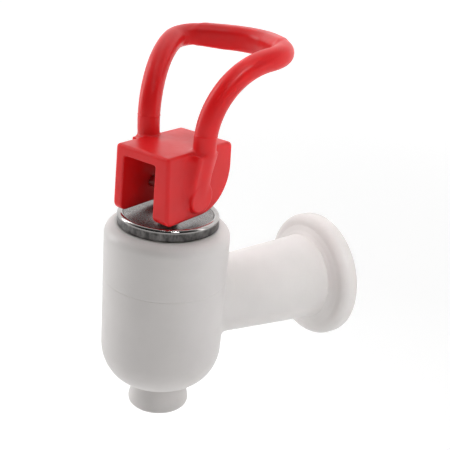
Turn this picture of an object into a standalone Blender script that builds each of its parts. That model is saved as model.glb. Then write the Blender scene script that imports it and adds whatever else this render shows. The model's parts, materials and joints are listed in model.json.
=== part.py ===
"""Lever tap for a countertop water dispenser: a plastic body that screws on by its flange, with a loop lever
that lifts a silicone valve off its seat. Metres, +Z up, +Y into the dispenser's wall, origin at the centre of
the flange's back face."""

import math

import bmesh
import bpy
from mathutils import Matrix, Vector

MM = 0.001
GAP = 0.3                # between pieces that touch
SHARP = math.radians(35)

# tap body
AXIS_Y = -49.0           # barrel axis from the wall
BARREL_R = 15.0
BARREL_TOP = 22.6
TOP_ROUND = 2.8
BOWL_TOP = -9.2          # the barrel's straight side ends here
BOWL_BOTTOM = -18.3
BOWL_END_R = 8.8
SPOUT_NECK_R = 6.4
SPOUT_RIM_R = 7.8
SPOUT_BOTTOM = -26.8
SPOUT_BORE_TOP_R = 4.6
SPOUT_BORE_R = 6.2
SEAT_TOP = -14.3
SEAT_R = 4.6
CHAMBER_R = 9.8
SHOULDER_Z = 9.3
BORE_R = 11.3
ARM_R_BARREL = 9.2
ARM_R_FLANGE = 11.6
CHANNEL_R = 5.2
SOCKET_R = 8.0           # dispenser nipple's thread
SOCKET_DEPTH = 17.0
GASKET_THICK = 1.6
FLANGE_R = 16.9
FLANGE_EDGE = 2.5
FLANGE_THICK = 4.8

# bonnet and cap
BONNET_TOP = 24.0
BONNET_HEAD_R = 11.5
BONNET_BOTTOM = 11.5
GUIDE_R = 2.6
SPRING_POCKET_R = 6.2
SPRING_POCKET_TOP = 21.0
CAP_R = 12.1
CAP_RIM_R = 11.75
CAP_CREST = 25.6
CAP_FLOOR = 24.8
CAP_SHEET = 0.4

# valve
STEM_R = 2.2
STEM_COLLAR_R = 4.0
STEM_COLLAR_TOP = 2.2
STEM_NECK_R = 2.0
STEM_BUTTON_R = 3.2
STEM_BUTTON_Z = -13.2
STEM_ABOVE_PIN = 2.3
SPRING_MEAN_R = 4.6
SPRING_WIRE = 0.7
SPRING_TURNS = 7
SPRING_Z = (4.2, 20.6)
PLUG_R = 5.6
PLUG_BOTTOM = SEAT_TOP + GAP

# lever, in its own frame: pin along X, front towards -Y
PIN_Z = 31.5
SWIVEL = math.radians(20.2)   # the lever stands turned from the arm's line
PIN_R = 1.25
PIN_HALF = 6.8
PIN_PLAY = 0.08
BLOCK_FRONT = -10.3
BLOCK_BACK = 12.5
BLOCK_TOP = 10.7
BLOCK_BOTTOM = -5.15
BLOCK_HALF_TOP = 7.8
BLOCK_HALF_BOTTOM = 8.35
TOE_R = 2.0
HEEL_R = 10.5
FRONT_ROUND = 0.6
BACK_ROUND = 1.3
SLOT_LEFT = -5.25        # the slot is not quite central
SLOT_RIGHT = 4.1
SLOT_TOP = 8.3
SLOT_BACK = 9.3
BOSS_R = 3.65
BOSS_X = 9.7
# the leg's foot on the cheek, side outline (y, z)
PILLAR = ((-3.1, 10.2), (3.9, 10.4), (3.6, 9.0), (2.8, 4.7), (3.2, -1.2), (-3.2, -1.0), (-3.6, 3.0))
PILLAR_X = 9.4           # outer face at the pin's height
PILLAR_LEAN = 0.1        # outwards per mm of height
LOOP_R = 2.61
LOOP_START = (6.9, 0.3, 0.0)    # in the boss
LOOP_KNEE = (8.38, 1.08, 10.6)  # where the leg leaves the block
LOOP_BEND = (8.7, -0.12, 27.7)  # from upright to lying back
LOOP_CORNER = (16.1, 20.1, 31.45)
LOOP_MIDDLE = (0.0, 30.5, 31.65)
LOOP_ROUNDS = (8.0, 18.1, 7.4, 12.6)
GRIP_HALF = 12.3         # the cross bar is thicker and squarer between these
GRIP_BELOW = 3.1
GRIP_TAPER = 6.0         # the extra depth runs out over this much at both ends
GRIP_SQUARE = 0.6        # exponent of the section, 1 is round

RED = (0.60, 0.020, 0.024)
WHITE = (0.80, 0.78, 0.76)
STEEL = (0.58, 0.57, 0.55)
SILICONE = (0.75, 0.75, 0.72)
NATURAL = (0.72, 0.71, 0.68)
RUBBER = (0.10, 0.10, 0.10)


def material(name, colour, roughness, metallic=0.0):
    mat = bpy.data.materials.new(name)
    mat.use_nodes = True
    shader = mat.node_tree.nodes["Principled BSDF"]
    shader.inputs["Base Color"].default_value = (*colour, 1.0)
    shader.inputs["Roughness"].default_value = roughness
    shader.inputs["Metallic"].default_value = metallic
    mat.diffuse_color = (*colour, 1.0)
    return mat


def finish(name, bm, mat):
    """Turn a bmesh in millimetres into a linked object in metres."""
    bmesh.ops.scale(bm, vec=(MM, MM, MM), verts=bm.verts)
    bmesh.ops.remove_doubles(bm, verts=bm.verts, dist=1e-6)
    bmesh.ops.recalc_face_normals(bm, faces=bm.faces)
    mesh = bpy.data.meshes.new(name)
    bm.to_mesh(mesh)
    bm.free()
    mesh.materials.append(mat)
    mesh.shade_smooth()
    mesh.set_sharp_from_angle(angle=SHARP)
    obj = bpy.data.objects.new(name, mesh)
    bpy.context.scene.collection.objects.link(obj)
    return obj


def arc(centre, radii, start, end, steps):
    """Points of an elliptical arc in a profile plane, angles in degrees."""
    points = []
    for i in range(steps + 1):
        a = math.radians(start + (end - start) * i / steps)
        points.append((centre[0] + radii[0] * math.cos(a), centre[1] + radii[1] * math.sin(a)))
    return points


def turned(name, profile, mat, segments=48, axis="Z"):
    """Spin a closed (radius, height) outline about Z, or about Y with height along +Y."""
    bm = bmesh.new()
    verts = [bm.verts.new((r, 0.0, h)) for r, h in profile]
    edges = [bm.edges.new((a, b)) for a, b in zip(verts, verts[1:] + verts[:1])
             if a.co.x > 1e-6 or b.co.x > 1e-6]
    bmesh.ops.spin(bm, geom=verts + edges, cent=(0, 0, 0), axis=(0, 0, 1),
                   angle=math.tau, steps=segments, use_merge=True)
    bmesh.ops.remove_doubles(bm, verts=bm.verts, dist=1e-5)
    loose = [v for v in bm.verts if not v.link_faces]
    bmesh.ops.delete(bm, geom=loose, context="VERTS")
    if axis == "Y":
        bmesh.ops.rotate(bm, cent=(0, 0, 0), matrix=Matrix.Rotation(-math.pi / 2, 3, "X"), verts=bm.verts)
    return finish(name, bm, mat)


def combine(obj, other, operation):
    """Boolean another object into this one and keep only the result."""
    modifier = obj.modifiers.new("Boolean", "BOOLEAN")
    modifier.operation = operation
    modifier.solver = "EXACT"
    modifier.object = other
    graph = bpy.context.evaluated_depsgraph_get()
    graph.update()
    mesh = bpy.data.meshes.new_from_object(obj.evaluated_get(graph))
    obj.modifiers.clear()
    old = obj.data
    obj.data = mesh
    bpy.data.meshes.remove(old)
    bpy.data.objects.remove(other)


def tidy(obj):
    """Weld the seams a Boolean leaves and restore smooth shading."""
    bm = bmesh.new()
    bm.from_mesh(obj.data)
    bmesh.ops.remove_doubles(bm, verts=bm.verts, dist=2e-6)
    bmesh.ops.dissolve_degenerate(bm, dist=2e-6, edges=bm.edges)
    bm.to_mesh(obj.data)
    bm.free()
    obj.data.shade_smooth()
    obj.data.set_sharp_from_angle(angle=SHARP)


def tap_body(mat):
    """Barrel with bowl and spout, arm and flange as one moulding, cut by its water ways."""
    spout = [(SPOUT_NECK_R + (SPOUT_RIM_R - SPOUT_NECK_R) * t ** 1.5,
              BOWL_BOTTOM + (SPOUT_BOTTOM + 0.9 - BOWL_BOTTOM) * t) for t in (0, 0.25, 0.5, 0.75, 1)]
    outline = [(0, SPOUT_BOTTOM), (SPOUT_RIM_R - 0.6, SPOUT_BOTTOM), (SPOUT_RIM_R - 0.1, SPOUT_BOTTOM + 0.3)]
    outline += spout[::-1]
    outline += arc((BOWL_END_R, BOWL_TOP), (BARREL_R - BOWL_END_R, BOWL_TOP - BOWL_BOTTOM), -90, 0, 8)
    outline += arc((BARREL_R - TOP_ROUND, BARREL_TOP - TOP_ROUND), (TOP_ROUND, TOP_ROUND), 0, 90, 5)
    outline += [(0, BARREL_TOP)]
    body = turned("tap_body", outline, mat)

    arm = [(0, 2.0), (ARM_R_BARREL - 0.15, 2.0), (ARM_R_FLANGE, -AXIS_Y - FLANGE_THICK - 0.2),
           (ARM_R_FLANGE + 0.5, -AXIS_Y - FLANGE_THICK)]
    dome = arc((FLANGE_R - 2.2, -AXIS_Y - FLANGE_EDGE), (2.2, FLANGE_THICK - FLANGE_EDGE - 0.5), -90, 0, 5)
    arm += dome + [(FLANGE_R, -AXIS_Y), (0, -AXIS_Y)]
    combine(body, turned("arm", arm, mat, axis="Y"), "UNION")

    chamber = [(0, SPOUT_BOTTOM - 2), (SPOUT_BORE_R, SPOUT_BOTTOM - 2), (SPOUT_BORE_R, SPOUT_BOTTOM),
               (SPOUT_BORE_TOP_R, SEAT_TOP - 2.5), (SEAT_R, SEAT_TOP), (SEAT_R + 1.0, SEAT_TOP),
               (SEAT_R + 1.3, SEAT_TOP - 0.8), (SEAT_R + 1.9, SEAT_TOP - 0.8)]
    chamber += arc((SEAT_R + 1.9, BOWL_TOP), (CHAMBER_R - SEAT_R - 1.9, BOWL_TOP - SEAT_TOP + 0.8), -80, 0, 6)
    chamber += [(CHAMBER_R, SHOULDER_Z), (BORE_R, SHOULDER_Z), (BORE_R, BARREL_TOP + 2), (0, BARREL_TOP + 2)]
    combine(body, turned("chamber", chamber, mat, 36), "DIFFERENCE")

    inlet = [(0, 5.0), (CHANNEL_R, 5.0), (CHANNEL_R, -AXIS_Y - SOCKET_DEPTH),
             (SOCKET_R, -AXIS_Y - SOCKET_DEPTH), (SOCKET_R, -AXIS_Y - 0.8), (SOCKET_R + 0.8, -AXIS_Y),
             (SOCKET_R + 0.8, -AXIS_Y + 2), (0, -AXIS_Y + 2)]
    combine(body, turned("inlet", inlet, mat, 36, axis="Y"), "DIFFERENCE")
    body.location = (0, AXIS_Y * MM, 0)
    tidy(body)
    return body


def on_axis(obj, turn=0.0):
    """Stand a turned piece on the barrel's axis."""
    obj.location = (0, AXIS_Y * MM, 0)
    obj.rotation_euler = (0, 0, turn)
    return obj


def inlet_gasket(mat):
    """Flat washer at the bottom of the thread socket, where the nipple's end seals."""
    front = -SOCKET_DEPTH + GAP
    back = front + GASKET_THICK
    ring = [(CHANNEL_R, front), (SOCKET_R - GAP, front), (SOCKET_R - GAP, back), (CHANNEL_R, back)]
    return turned("inlet_gasket", ring, mat, 36, axis="Y")


def bonnet_nut(mat):
    """Threaded plug that clamps the diaphragm, guides the stem and takes the spring's thrust."""
    shank = BORE_R - GAP - 0.1
    foot = BARREL_TOP + GAP
    ring = [(GUIDE_R, SPRING_POCKET_TOP), (SPRING_POCKET_R, SPRING_POCKET_TOP),
            (SPRING_POCKET_R, BONNET_BOTTOM), (shank, BONNET_BOTTOM), (shank, foot), (BONNET_HEAD_R, foot),
            (BONNET_HEAD_R, BONNET_TOP - 0.3), (BONNET_HEAD_R - 0.3, BONNET_TOP), (GUIDE_R, BONNET_TOP)]
    return on_axis(turned("bonnet_nut", ring, mat, 36))


def cap_cover(mat):
    """Drawn sheet cap: straight skirt, rolled rim, sunk floor with the stem's hole."""
    foot = BARREL_TOP + GAP
    crest = CAP_CREST
    ring = [(CAP_R, foot), (CAP_R - 0.05, crest - 1.1)]
    ring += arc((CAP_RIM_R - 0.45, crest - 0.8), (0.75, 0.8), 0, 180, 8)
    ring += [(CAP_RIM_R - 1.9, CAP_FLOOR), (GUIDE_R + 0.4, CAP_FLOOR), (GUIDE_R + 0.4, CAP_FLOOR - CAP_SHEET),
             (CAP_RIM_R - 1.9 + CAP_SHEET, CAP_FLOOR - CAP_SHEET)]
    ring += [(CAP_R - 0.05 - CAP_SHEET + 0.1, crest - 1.2), (CAP_R - CAP_SHEET + 0.1, foot)]
    return on_axis(turned("cap_cover", ring, mat, 56))


def valve_diaphragm(mat):
    """Silicone bell: clamped flange, thin skirt, thick plug with a socket for the stem's button."""
    low, high = SHOULDER_Z + GAP, BONNET_BOTTOM - GAP
    edge = BORE_R - GAP - 0.1
    ring = [(0, PLUG_BOTTOM), (PLUG_R - 0.5, PLUG_BOTTOM), (PLUG_R, PLUG_BOTTOM + 0.5), (PLUG_R, -8.0),
            (6.0, -5.5), (8.0, 0.0), (8.8, 4.0), (9.0, low), (edge, low), (edge, high), (7.8, high),
            (7.5, 4.0), (6.6, 0.5), (4.2, -5.5), (2.4, -7.0), (2.4, -11.3), (3.5, -11.3),
            (3.5, STEM_BUTTON_Z - GAP), (0, STEM_BUTTON_Z - GAP)]
    return on_axis(turned("valve_diaphragm", ring, mat, 32))


def valve_stem(mat):
    """Push rod: hole for the pin on top, collar for the spring seat, button in the silicone plug."""
    neck_top = -6.4
    top = PIN_Z + STEM_ABOVE_PIN
    rod = [(0, STEM_BUTTON_Z), (STEM_BUTTON_R, STEM_BUTTON_Z), (STEM_BUTTON_R, STEM_BUTTON_Z + 1.6),
           (STEM_NECK_R, STEM_BUTTON_Z + 1.6), (STEM_NECK_R, neck_top), (STEM_R, neck_top + 1.6),
           (STEM_R, STEM_COLLAR_TOP - 1.4), (STEM_COLLAR_R, STEM_COLLAR_TOP - 1.0),
           (STEM_COLLAR_R, STEM_COLLAR_TOP), (STEM_R, STEM_COLLAR_TOP), (STEM_R, top - 0.7),
           (STEM_R - 0.7, top), (0, top)]
    stem = turned("valve_stem", rod, mat, 24)
    combine(stem, cross_bar("hole", PIN_R + PIN_PLAY, 2 * PIN_HALF, PIN_Z, mat), "DIFFERENCE")
    tidy(stem)
    return on_axis(stem, SWIVEL)


def cross_bar(name, radius, length, height, mat):
    """Round bar along X."""
    bm = bmesh.new()
    bmesh.ops.create_cone(bm, cap_ends=True, segments=24, radius1=radius, radius2=radius, depth=length)
    bmesh.ops.rotate(bm, cent=(0, 0, 0), matrix=Matrix.Rotation(math.pi / 2, 3, "Y"), verts=bm.verts)
    bmesh.ops.translate(bm, vec=(0, 0, height), verts=bm.verts)
    return finish(name, bm, mat)


def sweep(name, path, section, mat, sides=16):
    """Tube with flat ends along a path; its rings are carried without twist and shaped by the section."""
    bm = bmesh.new()
    rings = []
    normal = Vector((0, 1, 0))
    for i, point in enumerate(path):
        ahead = path[min(i + 1, len(path) - 1)] - path[max(i - 1, 0)]
        tangent = ahead.normalized()
        normal = (normal - tangent * normal.dot(tangent)).normalized()
        side = tangent.cross(normal)
        ring = []
        for k in range(sides):
            u, v = section(point, math.tau * k / sides)
            ring.append(bm.verts.new(point + normal * u + side * v))
        rings.append(ring)
    for low, high in zip(rings, rings[1:]):
        for k in range(sides):
            n = (k + 1) % sides
            bm.faces.new((low[k], low[n], high[n], high[k]))
    bm.faces.new(rings[0][::-1])
    bm.faces.new(rings[-1])
    return finish(name, bm, mat)


def wire_section(point, angle):
    return SPRING_WIRE / 2 * math.cos(angle), SPRING_WIRE / 2 * math.sin(angle)


def loop_section(point, angle):
    """Round, but squarer and deeper below in the grip; the first direction points down there."""
    u, v = math.cos(angle), math.sin(angle)
    if abs(point.x) > GRIP_HALF or point.z < LOOP_BEND[2]:
        return LOOP_R * u, LOOP_R * v
    taper = min(1.0, (GRIP_HALF - abs(point.x)) / GRIP_TAPER)
    deep = LOOP_R + (GRIP_BELOW - LOOP_R) * taper if u > 0 else LOOP_R
    return (math.copysign(abs(u) ** GRIP_SQUARE, u) * deep, math.copysign(abs(v) ** GRIP_SQUARE, v) * LOOP_R)


def return_spring(mat):
    """Compression coil with its end turns closed up."""
    low, high = SPRING_Z
    closed = SPRING_WIRE * 1.35
    steps = SPRING_TURNS * 12
    path = []
    for i in range(steps + 1):
        turn = SPRING_TURNS * i / steps
        if turn < 1:
            rise = closed * turn
        elif turn > SPRING_TURNS - 1:
            rise = high - low - SPRING_WIRE - closed * (SPRING_TURNS - turn)
        else:
            rise = closed + (high - low - SPRING_WIRE - 2 * closed) * (turn - 1) / (SPRING_TURNS - 2)
        a = math.tau * turn
        height = low + SPRING_WIRE / 2 + rise
        path.append(Vector((SPRING_MEAN_R * math.cos(a), SPRING_MEAN_R * math.sin(a), height)))
    return on_axis(sweep("return_spring", path, wire_section, mat, 6))


def spring_seat(mat):
    """Loose plastic disc on the stem's collar, under the spring."""
    low = STEM_COLLAR_TOP + GAP
    ring = [(STEM_R + GAP, low), (5.7, low), (5.7, low + 1.3), (STEM_R + GAP, low + 1.3)]
    return on_axis(turned("spring_seat", ring, mat, 32))


def prism(name, outline, half, mat):
    """Side outline (y, z) drawn out to both sides; half gives the half width at a height."""
    bm = bmesh.new()
    left = [bm.verts.new((-half(z), y, z)) for y, z in outline]
    right = [bm.verts.new((half(z), y, z)) for y, z in outline]
    bm.faces.new(left)
    bm.faces.new(right[::-1])
    for i in range(len(outline)):
        n = (i + 1) % len(outline)
        bm.faces.new((left[i], right[i], right[n], left[n]))
    return finish(name, bm, mat)


def block(mat):
    """Lever's block: side outline with a rounded toe and heel, wider at the bottom than at the top."""
    outline = arc((BLOCK_FRONT + TOE_R, BLOCK_BOTTOM + TOE_R), (TOE_R, TOE_R), 180, 270, 4)
    outline += arc((BLOCK_BACK - HEEL_R, BLOCK_BOTTOM + HEEL_R), (HEEL_R, HEEL_R), -90, 0, 8)
    outline += arc((BLOCK_BACK - BACK_ROUND, BLOCK_TOP - BACK_ROUND), (BACK_ROUND, BACK_ROUND), 0, 90, 3)
    edge = FRONT_ROUND
    outline += arc((BLOCK_FRONT + edge, BLOCK_TOP - edge), (edge, edge), 90, 180, 3)

    def half(z):
        up = (z - BLOCK_BOTTOM) / (BLOCK_TOP - BLOCK_BOTTOM)
        return BLOCK_HALF_BOTTOM + (BLOCK_HALF_TOP - BLOCK_HALF_BOTTOM) * up

    return prism("lever_handle", outline, half, mat)


def slot(mat):
    """Space between the cheeks, open at the front and the bottom."""
    low = (SLOT_LEFT, BLOCK_FRONT - 5, BLOCK_BOTTOM - 5)
    high = (SLOT_RIGHT, SLOT_BACK, SLOT_TOP)
    bm = bmesh.new()
    bmesh.ops.create_cube(bm, size=1.0)
    bmesh.ops.scale(bm, vec=[b - a for a, b in zip(low, high)], verts=bm.verts)
    bmesh.ops.translate(bm, vec=[(a + b) / 2 for a, b in zip(low, high)], verts=bm.verts)
    return finish("slot", bm, mat)


def rounded(corners, radii, step=1.3):
    """Polyline through the first and last corner, with an arc of its own radius at each one between."""
    path = [corners[0]]
    for before, corner, after, radius in zip(corners, corners[1:], corners[2:], radii):
        back, ahead = (before - corner).normalized(), (after - corner).normalized()
        opening = back.angle(ahead)
        reach = radius / math.tan(opening / 2)
        centre = corner + (back + ahead).normalized() * (radius / math.sin(opening / 2))
        first = (corner + back * reach - centre).normalized()
        turn = math.pi - opening
        across = (corner + ahead * reach - centre).normalized()
        across = (across - first * across.dot(first)).normalized()
        steps = max(3, round(radius * turn / step / (1 + radius / 17)))
        for i in range(steps + 1):
            a = turn * i / steps
            path.append(centre + (first * math.cos(a) + across * math.sin(a)) * radius)
    return path + [corners[-1]]


def loop_path():
    """Centre line of the loop: both legs from their bosses up, back and into the cross bar."""
    right = [Vector(p) for p in (LOOP_START, LOOP_KNEE, LOOP_BEND, LOOP_CORNER)]
    left = [Vector((-p.x, p.y, p.z)) for p in reversed(right)]
    return rounded(right + [Vector(LOOP_MIDDLE)] + left, LOOP_ROUNDS + LOOP_ROUNDS[-2::-1])


def lever_handle(mat):
    """One red moulding: slotted block, pillars and pin bosses on its sides, and the finger loop."""
    lever = block(mat)
    pillars = prism("pillars", PILLAR, lambda z: PILLAR_X + PILLAR_LEAN * z, mat)
    combine(lever, pillars, "UNION")
    combine(lever, sweep("loop", loop_path(), loop_section, mat), "UNION")
    combine(lever, cross_bar("bosses", BOSS_R, 2 * BOSS_X, 0.0, mat), "UNION")
    combine(lever, slot(mat), "DIFFERENCE")
    holes = cross_bar("pin_holes", PIN_R + PIN_PLAY, 2 * (PIN_HALF + GAP), 0.0, mat)
    combine(lever, holes, "DIFFERENCE")
    tidy(lever)
    return lever


def build():
    for obj in list(bpy.data.objects):
        bpy.data.objects.remove(obj, do_unlink=True)
    white = material("white_plastic", WHITE, 0.32)
    natural = material("natural_plastic", NATURAL, 0.45)
    steel = material("stainless", STEEL, 0.28, 1.0)
    red = material("red_plastic", RED, 0.30)
    silicone = material("silicone", SILICONE, 0.55)
    rubber = material("rubber", RUBBER, 0.7)

    tap_body(white)
    inlet_gasket(rubber)
    bonnet_nut(natural)
    cap_cover(steel)
    valve_diaphragm(silicone)
    return_spring(steel)
    spring_seat(natural)
    valve_stem(natural)

    pivot = bpy.data.objects.new("lever_pivot", None)
    bpy.context.scene.collection.objects.link(pivot)
    pivot.location = (0, AXIS_Y * MM, PIN_Z * MM)
    pivot.rotation_euler = (0, 0, SWIVEL)
    lever_handle(red).parent = pivot
    cross_bar("pivot_pin", PIN_R, 2 * PIN_HALF, 0.0, steel).parent = pivot


build()
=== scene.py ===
import json
import math

import bmesh
import bpy
import numpy as np
from mathutils import Matrix, Vector


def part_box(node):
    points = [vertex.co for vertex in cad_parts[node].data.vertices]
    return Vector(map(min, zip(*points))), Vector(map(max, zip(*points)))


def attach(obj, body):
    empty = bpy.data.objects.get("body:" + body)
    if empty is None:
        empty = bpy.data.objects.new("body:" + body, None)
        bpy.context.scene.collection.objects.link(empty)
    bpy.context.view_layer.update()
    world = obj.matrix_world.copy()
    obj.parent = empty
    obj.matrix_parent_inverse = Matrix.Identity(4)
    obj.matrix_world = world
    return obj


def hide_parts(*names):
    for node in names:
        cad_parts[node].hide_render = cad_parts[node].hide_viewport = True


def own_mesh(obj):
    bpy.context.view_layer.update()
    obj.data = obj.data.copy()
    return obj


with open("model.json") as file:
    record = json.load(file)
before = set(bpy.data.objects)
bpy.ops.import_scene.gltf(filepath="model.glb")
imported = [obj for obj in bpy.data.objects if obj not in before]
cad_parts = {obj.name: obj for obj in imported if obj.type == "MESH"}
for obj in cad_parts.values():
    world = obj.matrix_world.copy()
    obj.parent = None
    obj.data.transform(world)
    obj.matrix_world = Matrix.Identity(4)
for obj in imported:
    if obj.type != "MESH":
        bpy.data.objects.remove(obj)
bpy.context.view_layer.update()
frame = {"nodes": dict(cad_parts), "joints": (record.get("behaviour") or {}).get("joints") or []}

# Shapes are in millimetres, in the frame of the barrel (its axis is x = y = 0) or of the lever (the pin is y = z = 0,
# and x runs along it). Lights, camera and floor are in metres.
MM = 0.001
JOINTS = {joint["name"]: joint for joint in frame["joints"]}
TILT = JOINTS["lever_tilt"]
AXIS_Y = TILT["pos_m"][1] / MM
PIN_Z = TILT["pos_m"][2] / MM
SWIVEL = math.atan2(TILT["axis"][1], TILT["axis"][0])


# ---------------------------------------------------------------- signed distances

def profile_distance(r, h, outline):
    """Signed distance to an outline in a plane, negative inside. One that starts and ends on the axis stays open."""
    best = np.full(r.shape, 1e9)
    inside = np.zeros(r.shape, bool)
    for (r0, h0), (r1, h1) in zip(outline, outline[1:]):
        dr, dh = r1 - r0, h1 - h0
        length = dr * dr + dh * dh
        if length < 1e-12:
            continue
        t = np.clip(((r - r0) * dr + (h - h0) * dh) / length, 0, 1)
        best = np.minimum(best, (r - r0 - t * dr) ** 2 + (h - h0 - t * dh) ** 2)
        if h0 != h1:
            inside ^= ((h0 > h) != (h1 > h)) & (r < dr * (h - h0) / dh + r0)
    return np.where(inside, -1.0, 1.0) * np.sqrt(best)


def turned_distance(p, outline, axis="Z"):
    """Distance to an outline that is turned about the Z or the Y axis."""
    x, y, z = p.T
    if axis == "Y":
        return profile_distance(np.hypot(x, z), y, outline)
    return profile_distance(np.hypot(x, y), z, outline)


def blend_min(a, b, size):
    """Union with a fillet."""
    w = np.clip(0.5 + 0.5 * (b - a) / size, 0, 1)
    return b * (1 - w) + a * w - size * w * (1 - w)


def round_both(a, b, radius):
    """Intersection whose edge is rounded to a radius."""
    u, v = a + radius, b + radius
    outside = np.hypot(np.maximum(u, 0), np.maximum(v, 0))
    return np.minimum(np.maximum(u, v), 0) + outside - radius


def rectangle_distance(u, v, half_u, half_v, radius):
    return round_both(np.abs(u) - half_u, np.abs(v) - half_v, radius)


def arc(centre, radii, start, end, steps):
    """Points on an ellipse's arc, from one angle to another in degrees."""
    angles = [math.radians(start + (end - start) * i / steps) for i in range(steps + 1)]
    return [(centre[0] + radii[0] * math.cos(a), centre[1] + radii[1] * math.sin(a)) for a in angles]


# ---------------------------------------------------------------- tap body

PARTING_Z = 9.1            # the mould's witness line round the barrel
PARTING_HALF = 0.22
SPOUT_TOP_R = 6.4          # the spout flares from this radius
SPOUT_TOP_Z = -18.3
SPOUT_FLARE = 1.3
SPOUT_LENGTH = 7.6
BARREL = ([(0, -26.8), (7.25, -26.8)] + arc((7.25, -26.35), (0.45, 0.45), -90, 0, 4)
          + [(SPOUT_TOP_R + SPOUT_FLARE * t ** 1.5, SPOUT_TOP_Z - SPOUT_LENGTH * t)
             for t in (1, 0.85, 0.7, 0.55, 0.4, 0.25, 0.1, 0)]
          + arc((8.8, -9.2), (6.2, 9.1), -90, 0, 24)
          + [(15, PARTING_Z - PARTING_HALF), (14.9, PARTING_Z), (15, PARTING_Z + PARTING_HALF)]
          + arc((12.2, 19.8), (2.8, 2.8), 0, 90, 12) + [(0, 22.6)])
CHAMBER = ([(0, -30), (6.2, -30), (6.2, -26.6), (4.6, -16.8), (4.6, -14.3), (5.6, -14.3), (5.9, -15.1), (6.5, -15.1)]
           + arc((6.5, -9.2), (3.3, 5.9), -80, 0, 8) + [(9.8, 9.3), (11.3, 9.3), (11.3, 26), (0, 26)])
ARM = ([(0, 2), (9.05, 2), (9.2, 8), (11.5, 43.6), (12.4, 44.1), (14.0, 44.6)]
       + arc((14.6, 46.7), (2.3, 2.05), -85, 0, 10) + [(16.9, 48.7), (16.6, 49.0), (0, 49.0)])
CHANNEL = [(0, 5), (5.2, 5), (5.2, 32), (7.2, 32), (7.2, 34.2), (0, 34.2)]
ARM_FILLET = 1.8
BODY_EDGE = 0.35

SOCKET_R = 8.0             # the inlet's threaded socket
SOCKET_END = 32.0
SOCKET_MOUTH = 48.2        # from here the mouth opens at 45 degrees
THREAD_PITCH = 1.8
THREAD_DEPTH = 0.75
THREAD_SPAN = (33.6, 48.4)
THREAD_EASE = 0.8          # the helix makes the distance steeper than it is


def socket_distance(p):
    """Threaded socket from the flange's back: the wall's radius follows a helix."""
    x, y, z = p.T
    turn = (y / THREAD_PITCH - np.arctan2(z, x) / math.tau) % 1.0
    ridge = np.clip(np.abs(turn - 0.5) * 2.6 - 0.3, 0, 0.7) / 0.7
    lead = np.clip(y - THREAD_SPAN[0], 0, 1) * np.clip(THREAD_SPAN[1] - y, 0, 1)
    wall = SOCKET_R - THREAD_DEPTH * ridge * lead
    mouth = np.maximum(wall, SOCKET_R + np.clip(y - SOCKET_MOUTH, 0, 2))
    return np.maximum(np.hypot(x, z) - mouth, SOCKET_END - y)


def body_distance(p):
    outer = blend_min(turned_distance(p, BARREL), turned_distance(p, ARM, "Y"), ARM_FILLET)
    hollow = np.minimum(turned_distance(p, CHAMBER), turned_distance(p, CHANNEL, "Y"))
    hollow = np.minimum(hollow, socket_distance(p) * THREAD_EASE)
    return round_both(outer, -hollow, BODY_EDGE)


# ---------------------------------------------------------------- lever

LOOP_R = 2.61
LOOP_CORNERS = ((6.9, 0.3, 0.0), (8.38, 1.08, 10.6), (8.7, -0.12, 27.7), (16.1, 20.1, 31.45), (0.0, 30.5, 31.65),
                (-16.1, 20.1, 31.45))
LOOP_ROUNDS = (8.0, 18.1, 7.4, 12.6)
RINGS = ((1, 14.3), (-1, 15.2))        # side and height of the mould's witness line on each leg
RING_DEPTH = 0.07
RING_WIDTH = 0.13

GRIP_Z = 31.55                         # the grip bar across the top of the loop
GRIP_HALF = (2.61, 2.62)
GRIP_CORNER = 1.1
GRIP_CHAMFER = 3.9
GRIP_END = 12.3
GRIP_FRONT = 17.0
GRIP_DEEPER = 0.25                     # it hangs lower towards the middle, over this run
GRIP_RUN = 6.0

SIDE = (arc((-8.3, -3.15), (2.0, 2.0), 180, 270, 8) + arc((2.0, 5.35), (10.5, 10.5), -90, 0, 28)
        + arc((11.2, 9.4), (1.3, 1.3), 0, 90, 6) + arc((-9.5, 9.9), (0.8, 0.8), 90, 180, 6) + [(-10.3, -3.15)])
BLOCK_HALF = 8.35                      # half width at the block's bottom
BLOCK_NARROWER = 0.55                  # how much less it is at the top
BLOCK_BOTTOM = -5.15
BLOCK_HEIGHT = 15.85

FOOT = [(-2.6, 10.2), (4.0, 10.4), (3.7, 9.4), (2.5, 4.7), (2.9, 1.0), (2.6, -1.4), (-2.8, -1.4), (-3.5, 3.0),
        (-2.6, 10.2)]
FOOT_FACE = 9.35                       # the leg's pillar on the block's side, which leans outwards
FOOT_LEAN = 0.11
FOOT_INSIDE = 6.4
MOULDED_EDGE = 0.8
BOSS_R = 3.65
BOSS_FACE = 9.75

SLOT_MIDDLE = -0.6                     # the slot for the stem stands off the middle and leans a little
SLOT_LEAN = 0.03
SLOT_TOP = 8.3
SLOT_Y = -3.0
SLOT_HALF = (4.66, 12.3)
SLOT_CORNER = 0.6
HOLE_R = 1.33
HOLE_END = 7.1


def loop_runs():
    """The loop's right half as straight runs and arcs, each with what its distance needs."""
    corners = [np.array(c) for c in LOOP_CORNERS]
    start = corners[0]
    runs = []
    for before, corner, after, radius in zip(corners, corners[1:], corners[2:], LOOP_ROUNDS):
        back = (before - corner) / np.linalg.norm(before - corner)
        ahead = (after - corner) / np.linalg.norm(after - corner)
        opening = math.acos(back @ ahead)
        reach = radius / math.tan(opening / 2)
        middle = (back + ahead) / np.linalg.norm(back + ahead)
        centre = corner + middle * radius / math.sin(opening / 2)
        first = (corner + back * reach - centre) / radius
        across = corner + ahead * reach - centre
        across = across - first * (across @ first)
        runs.append((start, corner + back * reach))
        runs.append((centre, first, across / np.linalg.norm(across), radius, math.pi - opening))
        start = corner + ahead * reach
    return runs


LOOP_RUNS = loop_runs()


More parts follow.
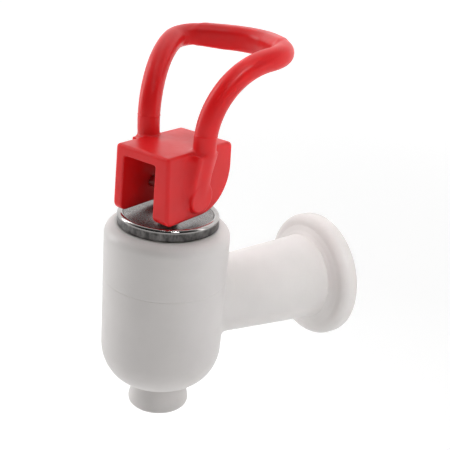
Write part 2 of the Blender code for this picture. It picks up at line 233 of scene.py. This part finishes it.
def loop_distance(p):
    """Distance to the loop's centre line."""
    best = np.full(len(p), 1e9)
    for run in LOOP_RUNS:
        if len(run) == 2:
            a, d = run[0], run[1] - run[0]
            t = np.clip(((p - a) @ d) / (d @ d), 0, 1)
            best = np.minimum(best, ((p - a - t[:, None] * d) ** 2).sum(1))
            continue
        centre, first, across, radius, turn = run
        q = p - centre
        u, v, w = q @ first, q @ across, q @ np.cross(first, across)
        angle = np.arctan2(v, u)
        angle = np.where(angle < turn / 2 - math.pi, angle + math.tau, angle)
        angle = np.clip(angle, 0, turn)
        best = np.minimum(best, (u - radius * np.cos(angle)) ** 2 + (v - radius * np.sin(angle)) ** 2 + w * w)
    return np.sqrt(best)


def tube_distance(p, near):
    """The loop's round wire, with its witness lines."""
    x, y, z = p.T
    tube = near - LOOP_R
    for way, height in RINGS:
        on = (x * way > 0) & (np.abs(z - height) < 1.0)
        tube = tube - np.where(on, RING_DEPTH * np.exp(-((z - height) / RING_WIDTH) ** 2), 0.0)
    return tube


def grip_distance(p, near):
    """The grip bar: squarer than the wire, with its upper edges cut off."""
    x, y, z = p.T
    side = np.abs(x)
    rise = z - GRIP_Z
    out = np.sqrt(np.maximum(near ** 2 - rise ** 2, 0))
    deeper = GRIP_DEEPER * np.clip((GRIP_END - side) / GRIP_RUN, 0, 1)
    grip = rectangle_distance(rise + deeper, out, GRIP_HALF[0] + deeper, GRIP_HALF[1], GRIP_CORNER)
    grip = round_both(grip, (rise + out - GRIP_CHAMFER) / math.sqrt(2), 0.25)
    return round_both(grip, np.maximum(side - GRIP_END, GRIP_FRONT - y), 1.0)


def lever_distance(p):
    x, y, z = p.T
    side = np.abs(x)
    half = BLOCK_HALF - BLOCK_NARROWER * (z - BLOCK_BOTTOM) / BLOCK_HEIGHT
    block = round_both(profile_distance(y, z, SIDE), side - half, MOULDED_EDGE)

    near = loop_distance(np.stack([side, y, z], 1))
    face = np.maximum(side - FOOT_FACE - FOOT_LEAN * z, FOOT_INSIDE - side)
    foot = round_both(profile_distance(y, z, FOOT), face, MOULDED_EDGE)
    leg = blend_min(tube_distance(p, near), foot, 0.9)
    leg = blend_min(leg, grip_distance(p, near), 0.7)

    # the leg runs softly into the front half of the block's side and meets the back half sharply
    soft = 0.25 + 2.0 * np.clip((1.5 - y) / 3.0, 0, 1) * np.clip((11.5 - z) / 2.5, 0, 1)
    boss = round_both(np.hypot(y, z) - BOSS_R, side - BOSS_FACE, 0.45)
    solid = blend_min(blend_min(block, leg, soft), boss, 0.25)

    across = x - SLOT_MIDDLE + SLOT_LEAN * (SLOT_TOP - z)
    slot = rectangle_distance(across, y - SLOT_Y, SLOT_HALF[0], SLOT_HALF[1], SLOT_CORNER)
    slot = round_both(slot, z - SLOT_TOP, SLOT_CORNER)
    solid = round_both(solid, -slot, 0.4)
    holes = np.maximum(np.hypot(y, z) - HOLE_R, side - HOLE_END)
    return np.maximum(solid, -holes)


# ---------------------------------------------------------------- meshes

SETTLE_ROUNDS = 4
SETTLE_REACH = 0.3
SPRING_SIDES = 10
SPRING_STEPS = 36

TO_BARREL = Matrix.Translation((0, -AXIS_Y, 0))
TO_LEVER = Matrix.Translation((0, 0, -PIN_Z)) @ Matrix.Rotation(-SWIVEL, 4, "Z") @ TO_BARREL


def near_parting(co):
    return abs(co.z - PARTING_Z) < 0.75 and math.hypot(co.x, co.y - AXIS_Y) > 13.5


def near_ring(co):
    across = co.x * math.cos(SWIVEL) + (co.y - AXIS_Y) * math.sin(SWIVEL)
    return any(across * way > 5.5 and abs(co.z - PIN_Z - height) < 0.6 for way, height in RINGS)


def placed(name, mesh):
    obj = bpy.data.objects.new(name, mesh)
    bpy.context.scene.collection.objects.link(obj)
    return obj


def slope(distance, p, here, step):
    """Unit gradient of a distance at points where its value is known."""
    g = np.empty_like(p)
    for i in range(3):
        ahead = p.copy()
        ahead[:, i] += step
        g[:, i] = distance(ahead) - here
    return g / np.maximum(np.linalg.norm(g, axis=1, keepdims=True), 1e-9)


def fine_mesh(name, node, distance, to_local, voxel, near_line):
    """Remesh a CAD node finely and settle its vertices on the smooth surface that a distance describes.

    The mesh is split twice more near the fine lines of the mould.
    """
    obj = placed(name, frame["nodes"][node].data.copy())
    remesh = obj.modifiers.new("Remesh", "REMESH")
    remesh.mode = "VOXEL"
    remesh.voxel_size = voxel * MM * 1.0
    graph = bpy.context.evaluated_depsgraph_get()
    fine = bpy.data.meshes.new_from_object(obj.evaluated_get(graph))
    obj.modifiers.clear()
    obj.data = fine
    fine.name = name
    bm = bmesh.new()
    bm.from_mesh(fine)
    for _ in range(2):
        edges = [e for e in bm.edges if near_line(e.verts[0].co / MM) and near_line(e.verts[1].co / MM)]
        bmesh.ops.subdivide_edges(bm, edges=edges, cuts=1, use_grid_fill=True)
    bm.to_mesh(fine)
    bm.free()

    co = np.empty(len(fine.vertices) * 3, np.float32)
    fine.vertices.foreach_get("co", co)
    turn = np.array(to_local.to_3x3())
    shift = np.array(to_local.translation)
    p = (co.reshape(-1, 3).astype(float) / MM) @ turn.T + shift
    for _ in range(SETTLE_ROUNDS):
        here = distance(p)
        p -= slope(distance, p, here, 0.02) * np.clip(here, -SETTLE_REACH, SETTLE_REACH)[:, None]
    normals = slope(distance, p, distance(p), 0.04) @ turn
    q = (p - shift) @ turn * MM
    fine.vertices.foreach_set("co", q.astype(np.float32).ravel())
    fine.update()
    fine.shade_smooth()
    fine.normals_split_custom_set_from_vertices(normals.astype(np.float32))
    fine.materials.clear()
    return obj


def lathe(name, outline, segments):
    """Spin a closed (radius, height) outline about the barrel's axis into a closed body."""
    bm = bmesh.new()
    verts = [bm.verts.new((r, 0, h)) for r, h in outline]
    pairs = zip(verts, verts[1:] + verts[:1])
    edges = [bm.edges.new((a, b)) for a, b in pairs if a.co.x > 1e-6 or b.co.x > 1e-6]
    bmesh.ops.spin(bm, geom=verts + edges, cent=(0, 0, 0), axis=(0, 0, 1), angle=math.tau, steps=segments,
                   use_merge=True)
    bmesh.ops.remove_doubles(bm, verts=bm.verts, dist=1e-4)
    bmesh.ops.delete(bm, geom=[v for v in bm.verts if not v.link_faces], context="VERTS")
    bmesh.ops.translate(bm, vec=(0, AXIS_Y, 0), verts=bm.verts)
    bmesh.ops.scale(bm, vec=(MM, MM, MM), verts=bm.verts)
    bmesh.ops.recalc_face_normals(bm, faces=bm.faces)
    mesh = bpy.data.meshes.new(name)
    bm.to_mesh(mesh)
    bm.free()
    mesh.shade_smooth()
    mesh.set_sharp_from_angle(angle=math.radians(38))
    return placed(name, mesh)


def coil(name, low, high, mean, wire, turns, closed):
    """Compression spring with closed end turns, as a swept round wire."""
    bm = bmesh.new()
    rings = []
    steps = turns * SPRING_STEPS
    free = (high - low - wire - 2 * closed) / (turns - 2)
    for i in range(steps + 1):
        turn = turns * i / steps
        rise = closed * min(turn, 1) + free * min(max(turn - 1, 0), turns - 2) + closed * max(turn - turns + 1, 0)
        a = math.tau * turn
        out = Vector((math.cos(a), math.sin(a), 0))
        centre = out * mean + Vector((0, AXIS_Y, low + wire / 2 + rise))
        around = [math.tau * k / SPRING_SIDES for k in range(SPRING_SIDES)]
        ring = [centre + (out * math.cos(b) + Vector((0, 0, math.sin(b)))) * wire / 2 for b in around]
        rings.append([bm.verts.new(co * MM) for co in ring])
    for before, after in zip(rings, rings[1:]):
        for k in range(SPRING_SIDES):
            bm.faces.new((before[k], before[k - 1], after[k - 1], after[k]))
    bm.faces.new(rings[0])
    bm.faces.new(rings[-1][::-1])
    bmesh.ops.recalc_face_normals(bm, faces=bm.faces)
    mesh = bpy.data.meshes.new(name)
    bm.to_mesh(mesh)
    bm.free()
    mesh.shade_smooth()
    return placed(name, mesh)


# ---------------------------------------------------------------- materials

class Nodes:
    """The node tree of a material or a world, built up call by call."""

    def __init__(self, owner, shader="Principled BSDF"):
        owner.use_nodes = True
        self.owner = owner
        self.tree = owner.node_tree
        self.inputs = self.tree.nodes[shader].inputs

    def add(self, kind, **settings):
        node = self.tree.nodes.new(kind)
        for key, value in settings.items():
            if key in node.inputs:
                node.inputs[key].default_value = value
            else:
                setattr(node, key, value)
        return node

    def link(self, a, b):
        self.tree.links.new(a, b)

    def feed(self, socket, value):
        """Put a constant or another node's output into a socket."""
        if isinstance(value, bpy.types.NodeSocket):
            self.link(value, socket)
        else:
            socket.default_value = value

    def place(self, output="Object"):
        return self.add("ShaderNodeTexCoord").outputs[output]

    def math(self, operation, *values):
        node = self.add("ShaderNodeMath", operation=operation)
        for socket, value in zip(node.inputs, values):
            self.feed(socket, value)
        return node.outputs[0]

    def vector(self, operation, *values):
        """Vector operation with a number as its result."""
        node = self.add("ShaderNodeVectorMath", operation=operation)
        for socket, value in zip(node.inputs, values):
            self.feed(socket, value)
        return node.outputs["Value"]

    def joined(self, *values):
        node = self.add("ShaderNodeCombineXYZ")
        for socket, value in zip(node.inputs, values):
            self.feed(socket, value)
        return node.outputs[0]

    def noise(self, vector, scale, detail=4.0, roughness=0.55):
        node = self.add("ShaderNodeTexNoise", Scale=scale, Detail=detail, Roughness=roughness)
        self.link(vector, node.inputs["Vector"])
        return node.outputs["Fac"]

    def remap(self, value, low, high, to_low, to_high, kind="LINEAR"):
        node = self.add("ShaderNodeMapRange", interpolation_type=kind)
        for socket, v in zip(node.inputs, (value, low, high, to_low, to_high)):
            self.feed(socket, v)
        return node.outputs[0]

    def mix(self, factor, a, b):
        node = self.add("ShaderNodeMix", data_type="RGBA")
        for i, value in ((0, factor), (6, a), (7, b)):
            self.feed(node.inputs[i], value)
        return node.outputs[2]

    def bump(self, height, strength, distance, normal=None):
        node = self.add("ShaderNodeBump", Strength=strength, Distance=distance)
        self.link(height, node.inputs["Height"])
        if normal is not None:
            self.link(normal, node.inputs["Normal"])
        return node.outputs["Normal"]


def rgba(r, g, b):
    return (r, g, b, 1.0)


def scaled(colour, factor, added=0.0):
    return rgba(*(min(1.0, c * factor + added) for c in colour[:3]))


def moulded(name, colour, shade, roughness, specular=0.5, subsurface=0.0):
    """Moulded plastic: faint flow mottling, fine orange peel, edges painted slightly paler as a painted highlight,
    soft smudges.
    """
    n = Nodes(bpy.data.materials.new(name))
    at = n.place()
    tint = n.mix(n.remap(n.noise(at, 90, 3), 0.35, 0.65, 0.0, 1.0), colour, shade)
    # painted highlight: the colour is made paler along the edges that the bevel finds
    edge = n.add("ShaderNodeBevel", samples=4, Radius=0.0006)
    geometry = n.add("ShaderNodeNewGeometry")
    flat = n.vector("DOT_PRODUCT", edge.outputs[0], geometry.outputs["Normal"])
    painted_edge_highlight = n.remap(flat, 1.0, 0.86, 0.0, 0.22)
    n.link(n.mix(painted_edge_highlight, tint, scaled(colour, 1.12, 0.02)), n.inputs["Base Color"])
    smudge = n.noise(at, 220, 5)
    n.link(n.remap(smudge, 0.3, 0.7, roughness * 0.85, roughness * 1.2), n.inputs["Roughness"])
    peel = n.bump(n.noise(at, 700, 2), 0.06, 0.0004)
    n.link(n.bump(n.noise(at, 2600, 2, 0.6), 0.05, 0.0001, peel), n.inputs["Normal"])
    n.inputs["Specular IOR Level"].default_value = specular
    n.inputs["Subsurface Weight"].default_value = subsurface
    n.inputs["Subsurface Scale"].default_value = 0.005
    n.inputs["Subsurface Radius"].default_value = (1.0, 0.15, 0.12)
    return n.owner


def brushed(name, colour, roughness, skirt=None):
    """Drawn steel: fine lines round the barrel's axis, uneven polish and a little staining.

    A skirt, given as the heights in metres where it fades in, is duller, and its colour is painted dark and streaked:
    a painted reflection.
    """
    n = Nodes(bpy.data.materials.new(name))
    split = n.add("ShaderNodeSeparateXYZ")
    n.link(n.place(), split.inputs[0])
    x, y, z = split.outputs
    y = n.math("SUBTRACT", y, AXIS_Y * MM)
    angle = n.math("ARCTAN2", y, x)
    radius = n.vector("LENGTH", n.joined(x, y))

    def wrapped(slow):
        """Coordinates that run along the turning direction at a given slowness."""
        return n.joined(n.math("MULTIPLY", angle, slow), radius, z)

    lines = n.noise(wrapped(0.0012), 9000, 3, 0.7)
    blotch = n.noise(n.place(), 260, 4)
    tone = n.mix(n.remap(blotch, 0.35, 0.7, 0.0, 0.8), colour, scaled(colour, 0.72))
    polish = n.remap(lines, 0.3, 0.7, roughness * 0.7, roughness * 1.35)
    if skirt:
        # painted reflection: below the skirt's top the colour is painted dark, with streaks
        reflection_streaks = n.remap(n.noise(wrapped(0.020), 420, 3, 0.6), 0.4, 0.68, 0.0, 1.0)
        below = n.remap(z, skirt[0], skirt[1], 1.0, 0.0)
        tone = n.mix(below, tone, n.mix(reflection_streaks, scaled(colour, 0.12), scaled(colour, 0.40)))
        polish = n.math("MULTIPLY_ADD", below, 0.22, polish)
    n.link(tone, n.inputs["Base Color"])
    n.link(polish, n.inputs["Roughness"])
    n.link(n.bump(lines, 0.10, 0.00008), n.inputs["Normal"])
    n.inputs["Metallic"].default_value = 1.0
    return n.owner


def soft(name, colour, shade, roughness):
    """Rubber or silicone: bloom, fine grain and a dull sheen."""
    n = Nodes(bpy.data.materials.new(name))
    at = n.place()
    n.link(n.mix(n.remap(n.noise(at, 300, 4), 0.35, 0.7, 0.0, 1.0), colour, shade), n.inputs["Base Color"])
    n.link(n.remap(n.noise(at, 900, 3), 0.3, 0.7, roughness * 0.85, roughness * 1.1), n.inputs["Roughness"])
    n.link(n.bump(n.noise(at, 3500, 2), 0.12, 0.0001), n.inputs["Normal"])
    n.inputs["Sheen Weight"].default_value = 0.15
    return n.owner


WHITE = moulded("white_moulded", rgba(0.635, 0.607, 0.593), rgba(0.61, 0.583, 0.57), roughness=0.37, specular=0.42)
RED = moulded("red_moulded", rgba(0.70, 0.013, 0.016), rgba(0.64, 0.010, 0.012), roughness=0.35, specular=0.30,
              subsurface=0.5)
NATURAL = moulded("natural_moulded", rgba(0.66, 0.64, 0.60), rgba(0.60, 0.58, 0.54), roughness=0.45)
# its skirt is painted dark and streaked, a painted reflection
STEEL = brushed("brushed_cap", rgba(0.42, 0.40, 0.39), roughness=0.13, skirt=(0.0246, 0.0251))
WIRE = brushed("drawn_wire", rgba(0.55, 0.55, 0.54), roughness=0.3)
SILICONE = soft("silicone_white", rgba(0.74, 0.73, 0.70), rgba(0.66, 0.65, 0.62), roughness=0.5)
RUBBER = soft("sealing_rubber", rgba(0.035, 0.035, 0.036), rgba(0.05, 0.05, 0.05), roughness=0.62)


# ---------------------------------------------------------------- pieces

CAP = ([(11.65, 22.9), (12.08, 22.9), (12.1, 23.05), (12.05, 24.3)] + arc((11.35, 24.85), (0.72, 0.75), 0, 180, 16)
       + arc((10.2, 25.15), (0.43, 0.35), 0, -90, 5) + [(3.95, 24.8), (3.7, 24.7), (3.7, 24.4), (10.3, 24.4)]
       + [(11.0, 24.75), (11.35, 25.1), (11.6, 24.8)])
BELL = ([(0, -14.0), (5.0, -14.0)] + arc((5.0, -13.4), (0.6, 0.6), -90, 0, 6)
        + [(5.6, -8.0), (6.0, -5.5), (7.1, -2.6), (8.0, 0.0), (8.8, 4.0), (9.0, 9.6), (10.9, 9.6), (10.9, 11.2),
           (7.8, 11.2), (7.5, 4.0), (6.6, 0.5), (5.5, -2.6), (4.2, -5.5), (2.4, -7.0), (2.4, -11.3), (3.5, -11.3),
           (3.5, -13.5), (0, -13.5)])


def finished(obj, mat, body, node):
    obj.data.materials.clear()
    obj.data.materials.append(mat)
    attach(obj, body)
    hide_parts(node)


def shortens(obj):
    """Give the piece its own copy of its mesh."""
    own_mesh(obj)


tap_shell = fine_mesh("tap_shell", "tap_body", body_distance, TO_BARREL, 0.4, near_parting)
finished(tap_shell, WHITE, "tap", "tap_body")

lever_loop = fine_mesh("lever_loop", "lever_handle", lever_distance, TO_LEVER, 0.3, near_ring)
finished(lever_loop, RED, "lever", "lever_handle")

steel_cap = lathe("steel_cap", CAP, 144)
finished(steel_cap, STEEL, "tap", "cap_cover")

spring_low, spring_high = (v.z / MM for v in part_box("return_spring"))
steel_spring = coil("steel_spring", spring_low, spring_high, mean=4.6, wire=0.7, turns=7, closed=0.945)
finished(steel_spring, WIRE, "tap", "return_spring")
shortens(steel_spring)

silicone_bell = lathe("silicone_bell", BELL, 72)
finished(silicone_bell, SILICONE, "tap", "valve_diaphragm")
shortens(silicone_bell)

for node, mat in (("bonnet_nut", NATURAL), ("valve_stem", NATURAL), ("spring_seat", NATURAL),
                  ("pivot_pin", WIRE), ("inlet_gasket", RUBBER)):
    mesh = frame["nodes"][node].data
    mesh.materials.clear()
    mesh.materials.append(mat)


# ---------------------------------------------------------------- stage, light and camera

CAMERA_AZIMUTH = math.radians(55.51)
FILM_WIDTH = 36
AIM = Vector((0, AXIS_Y * MM, PARTING_Z * MM))


def floor(height, size, near, far, dim, pale):
    """White floor that glows: dimly out to a near distance from the middle, rising to full glow at a far one. The dim
    middle is painted shade under the object.
    """
    bpy.ops.mesh.primitive_plane_add(size=size, location=(0, 0, height))
    plane = bpy.context.object
    plane.name = "floor"
    n = Nodes(bpy.data.materials.new("floor"))
    n.inputs["Base Color"].default_value = rgba(0.95, 0.95, 0.95)
    n.inputs["Roughness"].default_value = 0.9
    n.inputs["Specular IOR Level"].default_value = 0.1
    n.inputs["Emission Color"].default_value = rgba(1, 1, 1)
    # painted shade: the glow is weaker near the middle, under the object
    n.link(n.remap(n.vector("LENGTH", n.place()), near, far, dim, pale), n.inputs["Emission Strength"])
    plane.data.materials.append(n.owner)


def sky(front, back, edge, overhead):
    """A light tent: dim on the photographer's side, bright behind the object, overhead and at the horizon."""
    world = bpy.data.worlds.new("studio")
    n = Nodes(world, "Background")
    seen = n.place("Generated")

    def along(direction, low, high, to_low, to_high):
        return n.remap(n.vector("DOT_PRODUCT", seen, direction), low, high, to_low, to_high, "SMOOTHSTEP")

    toward = (math.sin(CAMERA_AZIMUTH), -math.cos(CAMERA_AZIMUTH), 0)
    depth = along(toward, edge[0], edge[1], back, front)
    height = along((0, 0, 1), 0.45, 0.95, 0.0, overhead)
    horizon = along((0, 0, 1), 0.03, 0.09, 1.0, 0.0)
    n.inputs["Color"].default_value = rgba(1, 1, 1)
    n.link(n.math("MAXIMUM", n.math("ADD", depth, height), horizon), n.inputs["Strength"])
    bpy.context.scene.world = world


def panel(name, at, size, power, target=(0, AXIS_Y * MM, 0.01), spread=180):
    light = bpy.data.lights.new(name, "AREA")
    light.shape = "RECTANGLE"
    light.size, light.size_y = size
    light.energy = power
    light.spread = math.radians(spread)
    obj = placed(name, light)
    obj.location = at
    obj.rotation_euler = (Vector(target) - Vector(at)).to_track_quat("-Z", "Y").to_euler()


def camera(elevation, roll, distance, focal, centre):
    """Look at the barrel from its azimuth; centre is where the barrel's middle falls in the frame."""
    a = CAMERA_AZIMUTH
    e, r = math.radians(elevation), math.radians(roll)
    back = Vector((math.sin(a) * math.cos(e), -math.cos(a) * math.cos(e), math.sin(e)))
    level = Vector((math.cos(a), math.sin(a), 0))
    upright = back.cross(level)
    right = math.cos(r) * level + math.sin(r) * upright
    up = math.cos(r) * upright - math.sin(r) * level
    turn = Matrix((right, up, back)).transposed()
    seen = Vector((centre[0] * distance, centre[1] * distance, -distance))
    data = bpy.data.cameras.new("camera")
    data.sensor_width = FILM_WIDTH
    data.lens = FILM_WIDTH * focal
    data.clip_start = 0.005
    obj = placed("camera", data)
    obj.matrix_world = Matrix.Translation(AIM - turn @ seen) @ turn.to_4x4()
    bpy.context.scene.camera = obj


# the floor's dim middle is painted shade under the object
floor(height=-0.12, size=30.0, near=0.25, far=0.9, dim=0.18, pale=0.42)
sky(front=0.0, back=1.3, edge=(-0.55, 0.40), overhead=0.12)
panel("key", at=(0.15, -0.15, 0.57), size=(0.10, 0.10), power=0.27)
panel("overhead", at=(-0.12, 0.02, 0.62), size=(0.30, 0.22), power=0.20)
panel("left", at=(-0.38, -0.36, 0.20), size=(0.12, 0.45), power=0.95)
panel("right", at=(0.34, 0.36, 0.20), size=(0.12, 0.45), power=0.35)
panel("arm", at=(0.24, -0.06, 0.24), size=(0.08, 0.08), power=0.013, target=(0.0, 0.001, 0.003), spread=15)
camera(elevation=22.62, roll=5.16, distance=0.18496, focal=1.68838, centre=(-0.07882, -0.06360))
bpy.context.scene.view_settings.view_transform = "Standard"
